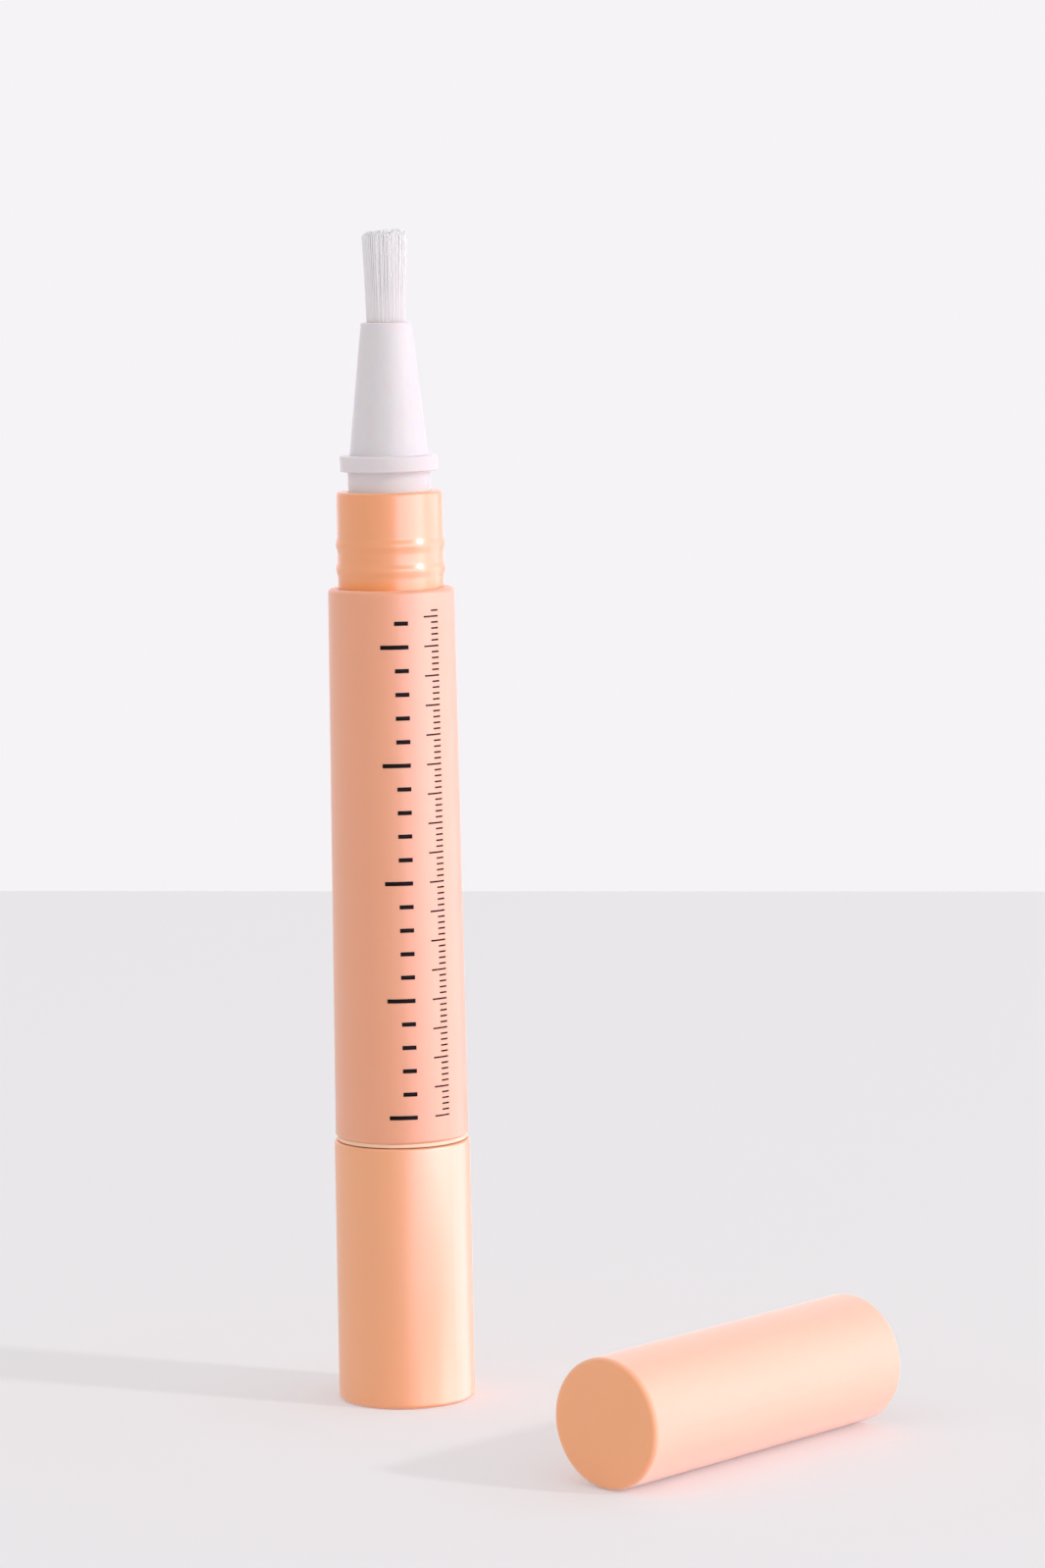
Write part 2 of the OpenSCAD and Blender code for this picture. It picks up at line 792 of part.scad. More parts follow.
// Cap as it stands mouth down on the shoulder, with grooves that snap over the two beads
module cap_upright() {
  groove_half = bead_w / 2 + cap_groove_spare;
  floor_z = cap_l - cap_end_wall;
  rotate_extrude()
    polygon(concat(
      [[cap_seat_r + cap_lead, 0]],
      arc(cap_r - cap_mouth_round, cap_mouth_round, cap_mouth_round, -90, 0),
      arc(cap_r - cap_end_round, cap_l - cap_end_round, cap_end_round, 0, 90),
      [
        [0, cap_l],
        [0, floor_z],
        [cap_well_r - cap_draft, floor_z],
        [cap_well_r, cap_well_z],
        [cap_seat_r, cap_well_z]
      ],
      backwards(ridge(cap_seat_r, bead_low_up + bead_step, groove_half, bead_rise)),
      backwards(ridge(cap_seat_r, bead_low_up, groove_half, bead_rise)),
      [[cap_seat_r, cap_lead]]
    ));
}

// Cap where it lies on its side
module cap() {
  color(sleeve_colour)
    translate([cap_beside, cap_l / 2, cap_r])
      rotate([90, 0, 0])
        cap_upright();
}

cap();
outer_sleeve();
reservoir();
nozzle();
bristle_tuft();
feed_tube();
tuft_bush();
flow_plug();
nozzle_seal();
piston();
piston_seals();
lead_screw();
screw_nut();
tail_tube();
ratchet_crown();
ratchet_slider();
ratchet_spring();
driver_tube();
retaining_ring();
knob();
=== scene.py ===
"""Dresses a nail oil pen: its mouldings, brush, lead screw, printed scale, and the studio round it."""

import math
from typing import NamedTuple

import bmesh
import bpy
from bpy.props import FloatProperty, FloatVectorProperty, IntProperty, PointerProperty
from bpy.types import Operator, Panel, PropertyGroup
from mathutils import Matrix, Vector


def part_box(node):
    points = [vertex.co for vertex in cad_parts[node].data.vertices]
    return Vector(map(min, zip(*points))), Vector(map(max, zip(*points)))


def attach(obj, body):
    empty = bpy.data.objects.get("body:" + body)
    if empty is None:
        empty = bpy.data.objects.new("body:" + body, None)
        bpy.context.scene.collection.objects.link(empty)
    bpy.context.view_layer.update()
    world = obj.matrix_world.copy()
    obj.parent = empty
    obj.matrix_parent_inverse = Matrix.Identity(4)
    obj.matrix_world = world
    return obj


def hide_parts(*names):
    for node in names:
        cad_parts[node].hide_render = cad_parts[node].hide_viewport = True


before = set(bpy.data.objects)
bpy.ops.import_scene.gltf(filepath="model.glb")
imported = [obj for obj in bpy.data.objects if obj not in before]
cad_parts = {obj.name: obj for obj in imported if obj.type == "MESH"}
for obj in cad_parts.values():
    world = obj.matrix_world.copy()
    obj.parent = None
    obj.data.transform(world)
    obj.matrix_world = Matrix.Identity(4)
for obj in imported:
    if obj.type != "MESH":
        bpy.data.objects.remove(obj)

bl_info = {
    "name": "Nail oil pen",
    "version": (1, 0, 0),
    "blender": (4, 5, 0),
    "location": "3D View > Sidebar > Oil pen",
    "description": "Makes the brush, lead screw, printed scale and finishes of a twist pen for nail oil",
    "category": "Object",
}

MM = 0.001
FULL_TURN = 2 * math.pi
GOLDEN_ANGLE = math.radians(137.508)
# A node's quotient may miss a whole number by less than this
NEARLY_WHOLE = 0.01
# What the lamps face
PEN_MIDDLE = Vector((0, 0, 50 * MM))

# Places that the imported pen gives
SLEEVE_LOW, SLEEVE_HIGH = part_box("outer_sleeve")
TUFT_LOW, TUFT_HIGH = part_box("bristle_tuft")
CONE_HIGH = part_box("nozzle")[1]
FEED_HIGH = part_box("feed_tube")[1]
SCREW_LOW, SCREW_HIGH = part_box("lead_screw")
CAP_LOW, CAP_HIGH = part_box("cap")


# Node trees

class Wire:
    """An output socket. Python's operators on it add the Math nodes of an expression."""

    def __init__(self, tree, socket):
        self.tree = tree
        self.socket = socket

    def maths(self, operation, *values):
        sockets = dict(zip(("Value", "Value_001", "Value_002"), values))
        return self.tree.node("ShaderNodeMath", {"operation": operation}, sockets)

    def __add__(self, other):
        return self.maths("ADD", self, other)

    __radd__ = __add__

    def __sub__(self, other):
        return self.maths("SUBTRACT", self, other)

    def __rsub__(self, other):
        return self.maths("SUBTRACT", other, self)

    def __mul__(self, other):
        return self.maths("MULTIPLY", self, other)

    __rmul__ = __mul__

    def __truediv__(self, other):
        return self.maths("DIVIDE", self, other)

    def __pow__(self, other):
        return self.maths("POWER", self, other)

    def least(self, other):
        return self.maths("MINIMUM", self, other)

    def most(self, other):
        return self.maths("MAXIMUM", self, other)

    def below(self, other):
        """1 where this value is less than the other, else 0."""
        return self.maths("LESS_THAN", self, other)

    def between(self, low, high):
        """Goes from low to high as this value goes from 0 to 1."""
        return low + (high - low) * self

    def apply(self, operation):
        """The operation of one value, such as COSINE, on this one."""
        return self.maths(operation, self)


class Tree:
    """A node tree with one method that adds any node, and short ones for those used most."""

    def __init__(self, tree):
        self.tree = tree

    def node(self, kind, settings=None, sockets=None, output=0):
        """Adds a node, gives it its settings and then its sockets, and returns one output."""
        made = self.tree.nodes.new(kind)
        for name, value in (settings or {}).items():
            if name == "stops":
                set_stops(made.color_ramp, value)
            else:
                setattr(made, name, value)
        for key, value in (sockets or {}).items():
            socket = find_socket(made.inputs, key)
            if isinstance(value, Wire):
                self.tree.links.new(value.socket, socket)
            else:
                socket.default_value = value
        if not made.outputs:
            return None
        return Wire(self, find_socket(made.outputs, output))

    def link(self, wire, node, key):
        """Links a wire to a node that is there already."""
        self.tree.links.new(wire.socket, find_socket(node.inputs, key))

    def mix(self, share, first, second):
        """A colour between two others."""
        sockets = {"Factor_Float": share, "A_Color": first, "B_Color": second}
        return self.node("ShaderNodeMix", {"data_type": "RGBA"}, sockets, "Result_Color")

    def noise(self, vector, scale, detail=2.0, roughness=0.5):
        """Noise from 0 to 1, whose scale is in waves to a metre."""
        sockets = {"Vector": vector, "Scale": scale, "Detail": detail, "Roughness": roughness}
        return self.node("ShaderNodeTexNoise", None, sockets, "Fac")

    def join_xyz(self, x, y, z):
        return self.node("ShaderNodeCombineXYZ", None, {"X": x, "Y": y, "Z": z})

    def split_xyz(self, vector):
        made = self.node("ShaderNodeSeparateXYZ", None, {"Vector": vector}).socket.node
        return [Wire(self, made.outputs[axis]) for axis in "XYZ"]

    def streaks(self, place, squeeze, scale, detail):
        """Noise that runs in streaks along the pen, because its height is squeezed to a share."""
        x, y, z = self.split_xyz(place)
        return self.noise(self.join_xyz(x, y, squeeze * z), scale, detail)


def find_socket(sockets, key):
    """The socket with that number or identifier."""
    if isinstance(key, int):
        return sockets[key]
    for socket in sockets:
        if socket.identifier == key:
            return socket
    raise KeyError(f"no socket {key!r} among {[socket.identifier for socket in sockets]}")


def set_stops(ramp, stops):
    """Gives a colour ramp its stops, from a list of places and colours."""
    while len(ramp.elements) < len(stops):
        ramp.elements.new(1.0)
    for element, (place, colour) in zip(ramp.elements, stops):
        element.position = place
        element.color = colour


# Materials

def new_material(name, constants):
    """A material with a Principled shader, and the values that are the same all over it."""
    material = bpy.data.materials.new(name)
    material.use_nodes = True
    material.node_tree.nodes.clear()
    tree = Tree(material.node_tree)
    shader = tree.node("ShaderNodeBsdfPrincipled", None, constants)
    tree.node("ShaderNodeOutputMaterial", None, {"Surface": shader})
    place = tree.node("ShaderNodeTexCoord", None, None, "Object")
    return material, tree, shader.socket.node, place


def add_bump(tree, shader, height, strength, distance):
    """Links a height to the shader's normal."""
    sockets = {"Height": height, "Strength": strength, "Distance": distance}
    tree.link(tree.node("ShaderNodeBump", None, sockets), shader, "Normal")


def with_alpha(colour):
    return (*colour[:3], 1.0)


def shaded(colour, share):
    """A colour made darker by a share of itself."""
    return (*[channel * (1 - share) for channel in colour[:3]], 1.0)


class PaintedShadeEnd(NamedTuple):
    """One end of a piece, where painted shade deepens its colour: along which axis, from which edge, how far.
    """

    axis: str
    edge: float
    reach: float
    colour: tuple


def skin(specular, sheen, sheen_roughness=0.6, coat=0.0, coat_roughness=0.03):
    """What is the same all over a casing, whose plastic lets a little light in."""
    return {
        "Specular IOR Level": specular,
        "Sheen Weight": sheen,
        "Sheen Roughness": sheen_roughness,
        "Coat Weight": coat,
        "Coat Roughness": coat_roughness,
        "Subsurface Weight": 0.25,
        "Subsurface Scale": 0.6 * MM,
    }


def moulded_plastic(name, colour, roughness, constants=None, mottle=0.04, grain=0.5, painted_shade_end=None):
    """Coloured plastic with a faint mottle and a fine grain, whose colour may deepen towards one end as
    painted shade.
    """
    material, tree, shader, place = new_material(name, {"IOR": 1.46, **(constants or {})})
    base = tree.mix(tree.noise(place, scale=90.0, detail=3.0), shaded(colour, mottle), with_alpha(colour))
    # Painted shade: near the given end the colour is mixed towards a deeper one
    if painted_shade_end:
        along = tree.split_xyz(place)["xyz".index(painted_shade_end.axis)]
        painted_shade_share = 1 - ((along - painted_shade_end.edge) / painted_shade_end.reach).most(0.0).least(1.0)
        base = tree.mix(painted_shade_share, base, with_alpha(painted_shade_end.colour))
    tree.link(base, shader, "Base Color")
    unevenness = tree.noise(place, scale=700.0)
    tree.link(unevenness.between(roughness - 0.04, roughness + 0.04), shader, "Roughness")
    fine = tree.noise(place, scale=5200.0, roughness=0.6)
    add_bump(tree, shader, fine, strength=grain, distance=0.012 * MM)
    return material


def nylon_strands(name, colour, tip):
    """Pale nylon whose tone changes a little from strand to strand, and which is paler at the tips."""
    constants = {
        "Roughness": 0.5,
        "IOR": 1.53,
        "Specular IOR Level": 0.04,
    }
    material, tree, shader, place = new_material(name, constants)
    strand = tree.streaks(place, squeeze=0.03, scale=7000.0, detail=1.0)
    tone = tree.mix(strand, shaded(colour, 0.04), with_alpha(colour))
    height = tree.split_xyz(place)[2]
    above = ((height - CONE_HIGH.z) / (TUFT_HIGH.z - CONE_HIGH.z)).most(0.0)
    tree.link(tree.mix(above, tone, with_alpha(tip)), shader, "Base Color")
    return material


def dark_rubber(name, colour):
    """Rubber cord with a dull, slightly dusty skin."""
    material, tree, shader, place = new_material(name, {"IOR": 1.5})
    dust = tree.noise(place, scale=1500.0, detail=4.0)
    tree.link(tree.mix(dust, shaded(colour, 0.3), with_alpha(colour)), shader, "Base Color")
    tree.link(dust.between(0.55, 0.8), shader, "Roughness")
    add_bump(tree, shader, tree.noise(place, scale=9000.0), strength=0.3, distance=0.01 * MM)
    return material


def drawn_steel(name, colour):
    """Drawn stainless steel with fine lines along the pen."""
    material, tree, shader, place = new_material(name, {"Metallic": 1.0})
    lines = tree.streaks(place, squeeze=0.05, scale=12000.0, detail=3.0)
    tree.link(tree.mix(lines, shaded(colour, 0.12), with_alpha(colour)), shader, "Base Color")
    tree.link(lines.between(0.22, 0.38), shader, "Roughness")
    add_bump(tree, shader, lines, strength=0.15, distance=0.004 * MM)
    return material


def printed_ink(name, colour):
    """Matt ink that lies thin on the sleeve, with a little unevenness in its cover."""
    material, tree, shader, place = new_material(name, {"IOR": 1.45, "Specular IOR Level": 0.04})
    cover = tree.noise(place, scale=4000.0, detail=3.0)
    tree.link(tree.mix(cover, shaded(colour, 0.25), with_alpha(colour)), shader, "Base Color")
    tree.link(cover.between(0.42, 0.62), shader, "Roughness")
    add_bump(tree, shader, cover, strength=0.2, distance=0.004 * MM)
    return material


def dress(names, material):
    """Gives CAD nodes a material in place of their plain one."""
    for name in names:
        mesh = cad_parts[name].data
        mesh.materials.clear()
        mesh.materials.append(material)


# Meshes

def link_object(name, data):
    """Puts a mesh or lamp into the scene as an object."""
    made = bpy.data.objects.new(name, data)
    bpy.context.scene.collection.objects.link(made)
    return made


class ShapeTree(Tree):
    """A Geometry Nodes tree with named inputs for its sizes."""

    def __init__(self, name):
        super().__init__(bpy.data.node_groups.new(name, "GeometryNodeTree"))
        self.tree.interface.new_socket(name="Mesh", in_out="OUTPUT", socket_type="NodeSocketGeometry")
        self.entry = None
        self.values = {}

    def inputs(self, sizes):
        """Adds one named input for each size and returns their wires by name."""
        kinds = {float: "NodeSocketFloat", int: "NodeSocketInt"}
        for name, value in sizes.items():
            kind = kinds.get(type(value), "NodeSocketMaterial")
            socket = self.tree.interface.new_socket(name=name, in_out="INPUT", socket_type=kind)
            self.values[socket.identifier] = value
        self.entry = self.tree.nodes.new("NodeGroupInput")
        return {socket.name: Wire(self, socket) for socket in self.entry.outputs if socket.name}

    def store(self, geometry, name, value):
        """Keeps a value on each point under a name."""
        settings = {"data_type": "FLOAT", "domain": "POINT"}
        sockets = {"Geometry": geometry, "Name": name, "Value": value}
        return self.node("GeometryNodeStoreNamedAttribute", settings, sockets)

    def stored(self, name):
        sockets = {"Name": name}
        return self.node("GeometryNodeInputNamedAttribute", {"data_type": "FLOAT"}, sockets)

    def random(self, low, high, index, seed):
        sockets = {"Min_001": low, "Max_001": high, "ID": index, "Seed": seed}
        settings = {"data_type": "FLOAT"}
        return self.node("FunctionNodeRandomValue", settings, sockets, "Value_001")

    def joined(self, *parts):
        join = self.tree.nodes.new("GeometryNodeJoinGeometry")
        for part in parts:
            self.tree.links.new(part.socket, join.inputs[0])
        return Wire(self, join.outputs[0])

    def finish(self, geometry, material):
        """Ends the tree with real geometry that has its material."""
        real = self.node("GeometryNodeRealizeInstances", None, {"Geometry": geometry})
        smooth = self.node("GeometryNodeSetShadeSmooth", None, {"Geometry": real})
        done = self.node("GeometryNodeSetMaterial", None, {"Geometry": smooth, "Material": material})
        self.node("NodeGroupOutput", None, {0: done})

    def build(self, name):
        """Runs the tree on an empty mesh and returns its result as a plain object."""
        holder = link_object(name + "_tree", bpy.data.meshes.new(name + "_tree"))
        modifier = holder.modifiers.new("Shape", "NODES")
        modifier.node_group = self.tree
        for identifier, value in self.values.items():
            modifier[identifier] = value
        shapes = bpy.context.evaluated_depsgraph_get()
        mesh = bpy.data.meshes.new_from_object(holder.evaluated_get(shapes))
        mesh.name = name
        holder.modifiers.remove(modifier)
        bpy.data.objects.remove(holder)
        if not mesh.polygons:
            raise RuntimeError(f"the tree for {name} made no faces")
        return link_object(name, mesh)


def ring_of_section(tree, inner, outer, low, high, sides=64):
    """A closed ring with a square section, between two radii and two heights."""
    middle = (inner + outer) * 0.5
    circle = tree.node("GeometryNodeCurvePrimitiveCircle", None, {"Resolution": sides, "Radius": middle})
    sockets = {"Width": outer - inner, "Height": high - low}
    section = tree.node("GeometryNodeCurvePrimitiveQuadrilateral", None, sockets)
    ring = tree.node("GeometryNodeCurveToMesh", None, {"Curve": circle, "Profile Curve": section})
    lift = tree.join_xyz(0.0, 0.0, (low + high) * 0.5)
    return tree.node("GeometryNodeTransform", None, {"Geometry": ring, "Translation": lift})


def brush_tree(sizes, material):
    """Strands on a sunflower spiral, gathered in the cone's mouth, flared and cut on a slant."""
    tree = ShapeTree("Brush")
    size = tree.inputs({
        "Strands": sizes.strands,
        "Strand radius": sizes.strand_radius,
        "Core radius": sizes.core_radius,
        "Tuft radius": sizes.tuft_radius,
        "Flare": sizes.flare,
        "Flare bend": sizes.flare_bend,
        "Root radius": sizes.root_radius,
        "Root low": TUFT_LOW.z,
        "Root thickness": sizes.root_thickness,
        "Mouth height": CONE_HIGH.z,
        "Tip height": TUFT_HIGH.z,
        "Feed height": FEED_HIGH.z,
        "Closing length": sizes.closing_length,
        "Cut slant": sizes.cut_slant,
        "Cut direction": sizes.cut_direction,
        "Edge round": sizes.edge_round,
        "Length spread": sizes.length_spread,
        "Lean": sizes.lean,
        "Lean bend": sizes.lean_bend,
        "Seed": sizes.seed,
        "Material": material,
    })
    index = tree.node("GeometryNodeInputIndex")
    inner = size["Core radius"] + size["Strand radius"]
    outer = size["Tuft radius"] - size["Strand radius"]
    share = (index + 0.5) / size["Strands"]
    radius = (inner * inner + (outer * outer - inner * inner) * share) ** 0.5
    angle = index * GOLDEN_ANGLE
    points = tree.node("GeometryNodePoints", None, {"Count": size["Strands"]})
    points = tree.store(points, "root_x", radius * angle.apply("COSINE"))
    points = tree.store(points, "root_y", radius * angle.apply("SINE"))
    for name, shift in (("lean_x", 0), ("lean_y", 1), ("shorter", 2)):
        points = tree.store(points, name, tree.random(0.0, 1.0, index, size["Seed"] + shift))

    # Every strand starts as a straight line of evenly spaced rings, and its place bends it
    line = tree.node("GeometryNodeCurvePrimitiveLine", None, {"Start": (0, 0, 0), "End": (0, 0, 1)})
    line = tree.node("GeometryNodeResampleCurve", None, {"Curve": line, "Count": sizes.rings})
    line = tree.store(line, "along", tree.node("GeometryNodeSplineParameter", None, None, "Factor"))
    strands = tree.node("GeometryNodeInstanceOnPoints", None, {"Points": points, "Instance": line})
    strands = tree.node("GeometryNodeRealizeInstances", None, {"Geometry": strands})

    along = tree.stored("along")
    root_x = tree.stored("root_x")
    root_y = tree.stored("root_y")
    direction = size["Cut direction"]
    towards = (root_x * direction.apply("COSINE") + root_y * direction.apply("SINE")) / outer
    root_radius = (root_x * root_x + root_y * root_y) ** 0.5
    over = (root_radius - outer + size["Edge round"]).most(0.0)
    cut = size["Tip height"] - size["Cut slant"] * (1 - towards) * 0.5
    rounded = size["Edge round"] - (size["Edge round"] * size["Edge round"] - over * over) ** 0.5
    cut = cut - rounded - size["Length spread"] * tree.stored("shorter")
    foot = size["Root low"] + size["Root thickness"] * 0.5
    height = foot + (cut - foot) * along
    above = ((height - size["Mouth height"]) / (size["Tip height"] - size["Mouth height"])).most(0.0)
    spread = 1 + (size["Flare"] - 1) * above ** size["Flare bend"]
    # Above the feed tube the inner strands close in over its end
    closed = ((height - size["Feed height"]) / size["Closing length"]).most(0.0).least(1.0)
    inward = closed * size["Core radius"] * (outer - root_radius) / (outer - inner)
    across = spread * (1 - inward / root_radius)
    lean = size["Lean"] * above ** size["Lean bend"]
    x = root_x * across + lean * (tree.stored("lean_x") - 0.5)
    y = root_y * across + lean * (tree.stored("lean_y") - 0.5)
    sockets = {"Geometry": strands, "Position": tree.join_xyz(x, y, height)}
    strands = tree.node("GeometryNodeSetPosition", None, sockets)
    strands = tree.node("GeometryNodeSetCurveRadius", None, {"Curve": strands, "Radius": spread})
    sockets = {"Resolution": sizes.sides, "Radius": size["Strand radius"]}
    section = tree.node("GeometryNodeCurvePrimitiveCircle", None, sockets)
    sockets = {"Curve": strands, "Profile Curve": section, "Fill Caps": True}
    strands = tree.node("GeometryNodeCurveToMesh", None, sockets)
    root_top = size["Root low"] + size["Root thickness"]
    root = ring_of_section(tree, size["Core radius"], size["Root radius"], size["Root low"], root_top)
    tree.finish(tree.joined(strands, root), size["Material"])
    return tree


def screw_tree(sizes, material):
    """A right-hand thread on a rod with two flats, below a grooved head."""
    tree = ShapeTree("Lead screw")
    size = tree.inputs({
        "Radius": sizes.radius,
        "Thread depth": sizes.thread_depth,
        "Pitch": sizes.pitch,
        "Across flats": sizes.across_flats,
        "Low": SCREW_LOW.z,
        "High": SCREW_HIGH.z,
        "Head height": sizes.head_height,
        "Head radius": sizes.head_radius,
        "Neck height": sizes.neck_height,
        "Neck radius": sizes.neck_radius,
        "Flank steepness": sizes.flank_steepness,
        "Overlap": sizes.overlap,
        "Material": material,
    })
    top = size["High"] - size["Head height"] - size["Neck height"]
    length = top - size["Low"]
    rings = int((SCREW_HIGH.z - SCREW_LOW.z) / sizes.pitch * sizes.rings_per_turn)
    sockets = {"Vertices": sizes.sides, "Side Segments": rings, "Radius": size["Radius"], "Depth": length}
    rod = tree.node("GeometryNodeMeshCylinder", None, sockets)
    lift = tree.join_xyz(0.0, 0.0, (top + size["Low"]) * 0.5)
    rod = tree.node("GeometryNodeTransform", None, {"Geometry": rod, "Translation": lift})
    x, y, z = tree.split_xyz(tree.node("GeometryNodeInputPosition"))
    turn = y.maths("ARCTAN2", y, x) / FULL_TURN
    phase = (z / size["Pitch"] - turn).apply("FRACT")
    # The ridge rises and falls along straight flanks, with a flat crest and a flat root
    steepness = size["Flank steepness"]
    rise = 1 - 2 * (phase - 0.5).apply("ABSOLUTE")
    ridge = (steepness * rise - (steepness - 1) * 0.5).most(0.0).least(1.0)
    radius = size["Radius"] - size["Thread depth"] * (1 - ridge)
    longer = radius / size["Radius"]
    half = size["Across flats"] * 0.5
    flat_y = (y * longer).most(0 - half).least(half)
    sockets = {"Geometry": rod, "Position": tree.join_xyz(x * longer, flat_y, z)}
    rod = tree.node("GeometryNodeSetPosition", None, sockets)
    neck_top = top + size["Neck height"]
    neck = rod_between(tree, size["Neck radius"], top - size["Overlap"], neck_top + size["Overlap"])
    head = rod_between(tree, size["Head radius"], neck_top, size["High"])
    tree.finish(tree.joined(rod, neck, head), size["Material"])
    return tree


def rod_between(tree, radius, low, high, sides=48):
    """A round rod between two heights."""
    sockets = {"Vertices": sides, "Radius": radius, "Depth": high - low}
    rod = tree.node("GeometryNodeMeshCylinder", None, sockets)
    lift = tree.join_xyz(0.0, 0.0, (low + high) * 0.5)
    return tree.node("GeometryNodeTransform", None, {"Geometry": rod, "Translation": lift})


def scale_tree(sizes, material, column, name):
    """A column of printed marks up the sleeve, bent round it."""
    tree = ShapeTree(name)
    size = tree.inputs({
        "Marks": column.marks,
        "Step": column.step,
        "Mark width": column.mark_width,
        "Short share": column.short_share,
        "Mark height": column.mark_height,
        "Long every": column.long_every,
        "Bearing": column.bearing,
        "First mark": SLEEVE_LOW.z + sizes.first_up,
        "Ink": sizes.ink,
        "Sunk": sizes.sunk,
        "Low radius": sizes.low_radius,
        "High radius": sizes.high_radius,
        "Low": SLEEVE_LOW.z,
        "High": SLEEVE_HIGH.z,
        "Material": material,
    })
    index = tree.node("GeometryNodeInputIndex")
    line = tree.node("GeometryNodePoints", None, {"Count": size["Marks"]})
    is_long = (index / size["Long every"]).apply("FRACT").below(NEARLY_WHOLE)
    width = size["Mark width"] * (size["Short share"] + (1 - size["Short share"]) * is_long)
    line = tree.store(line, "up", size["First mark"] + size["Step"] * index)
    line = tree.store(line, "wide", width)
    sockets = {"Size": (1.0, 1.0, 1.0), "Vertices X": sizes.bends, "Vertices Y": 2, "Vertices Z": 2}
    mark = tree.node("GeometryNodeMeshCube", None, sockets)
    marks = tree.node("GeometryNodeInstanceOnPoints", None, {"Points": line, "Instance": mark})
    marks = tree.node("GeometryNodeRealizeInstances", None, {"Geometry": marks})
    x, y, z = tree.split_xyz(tree.node("GeometryNodeInputPosition"))
    height = tree.stored("up") + z * size["Mark height"]
    share = (height - size["Low"]) / (size["High"] - size["Low"])
    wall = size["Low radius"] + (size["High radius"] - size["Low radius"]) * share
    radius = wall - size["Sunk"] + (size["Ink"] + size["Sunk"]) * (y + 0.5)
    # The marks start from one side of their column, as figures on a rule do
    side = (x + 0.5) * tree.stored("wide") - size["Mark width"] * 0.5
    angle = size["Bearing"] - side / wall
    place = tree.join_xyz(radius * angle.apply("COSINE"), radius * angle.apply("SINE"), height)
    marks = tree.node("GeometryNodeSetPosition", None, {"Geometry": marks, "Position": place})
    tree.finish(marks, size["Material"])
    return tree


def outward(piece):
    """Merges doubled points and turns every face outwards."""
    shape = bmesh.new()
    shape.from_mesh(piece.data)
    bmesh.ops.remove_doubles(shape, verts=shape.verts, dist=0.0001 * MM)
    bmesh.ops.recalc_face_normals(shape, faces=shape.faces)
    shape.to_mesh(piece.data)
    shape.free()
    return piece


# Sizes and colours that a user would change

def a_length(name, text, default):
    return FloatProperty(name=name, description=text, default=default, unit="LENGTH", precision=5)


def an_angle(name, text, default):
    return FloatProperty(name=name, description=text, default=math.radians(default), subtype="ANGLE")


def a_colour(name, text, default):
    return FloatVectorProperty(name=name, description=text, default=default, subtype="COLOR", size=3)


def a_number(name, text, default):
    return FloatProperty(name=name, description=text, default=default)


def a_count(name, text, default):
    return IntProperty(name=name, description=text, default=default)


class OilPenColours(PropertyGroup):
    """Colours of the pen's finishes, and how far its two patches of painted shade reach."""

    sleeve: a_colour("Sleeve", "Soft matt moulding of the barrel", (0.91, 0.405, 0.235))
    cap: a_colour("Cap", "Soft matt moulding of the cap", (0.98, 0.44, 0.232))
    # Painted shade: the cap's closed end, which lies in shade, is given a deeper colour than the rest of the
    # cap
    cap_end_painted_shade: a_colour("Cap end", "Deeper tone of the cap's thick closed end", (0.98, 0.385, 0.128))
    cap_end_painted_shade_reach: a_length("Cap end reach", "How far the tone of the cap's closed end reaches", 0.6 * MM)
    knob: a_colour("Knob", "Satin moulding of the knob", (0.97, 0.43, 0.20))
    neck: a_colour("Neck", "Glossy moulding of the neck", (0.98, 0.415, 0.195))
    # Painted shade: the neck is given a deeper colour where it meets the sleeve's shoulder
    neck_foot_painted_shade: a_colour("Neck foot", "Deeper tone of the neck next to the shoulder", (0.98, 0.35, 0.09))
    neck_foot_painted_shade_reach: a_length("Neck foot reach", "How far the tone of the neck's foot reaches", 1.1 * MM)
    nozzle: a_colour("Nozzle", "Translucent white moulding of the nozzle", (0.79, 0.755, 0.77))
    bristle: a_colour("Bristles", "Nylon strands of the brush", (0.93, 0.882, 0.90))
    bristle_tip: a_colour("Bristle tips", "Tips of the brush's strands", (0.97, 0.96, 0.975))
    # Painted highlight: the tail tube's rim is given a pale colour, so that the seam shows as a light line
    seam: a_colour("Seam", "Pale moulding of the tail tube, whose rim shows in the seam", (1.0, 0.68, 0.46))
    inner: a_colour("Inner plastic", "Natural plastic of the inner pieces", (0.72, 0.70, 0.68))
    drive: a_colour("Drive plastic", "Slippery plastic of the drive", (0.27, 0.32, 0.39))
    seal: a_colour("Seals", "Rubber of the seal rings", (0.05, 0.055, 0.06))
    steel: a_colour("Steel", "Spring, ring and feed tube", (0.50, 0.51, 0.53))
    ink: a_colour("Ink", "Printed marks on the sleeve", (0.008, 0.006, 0.006))


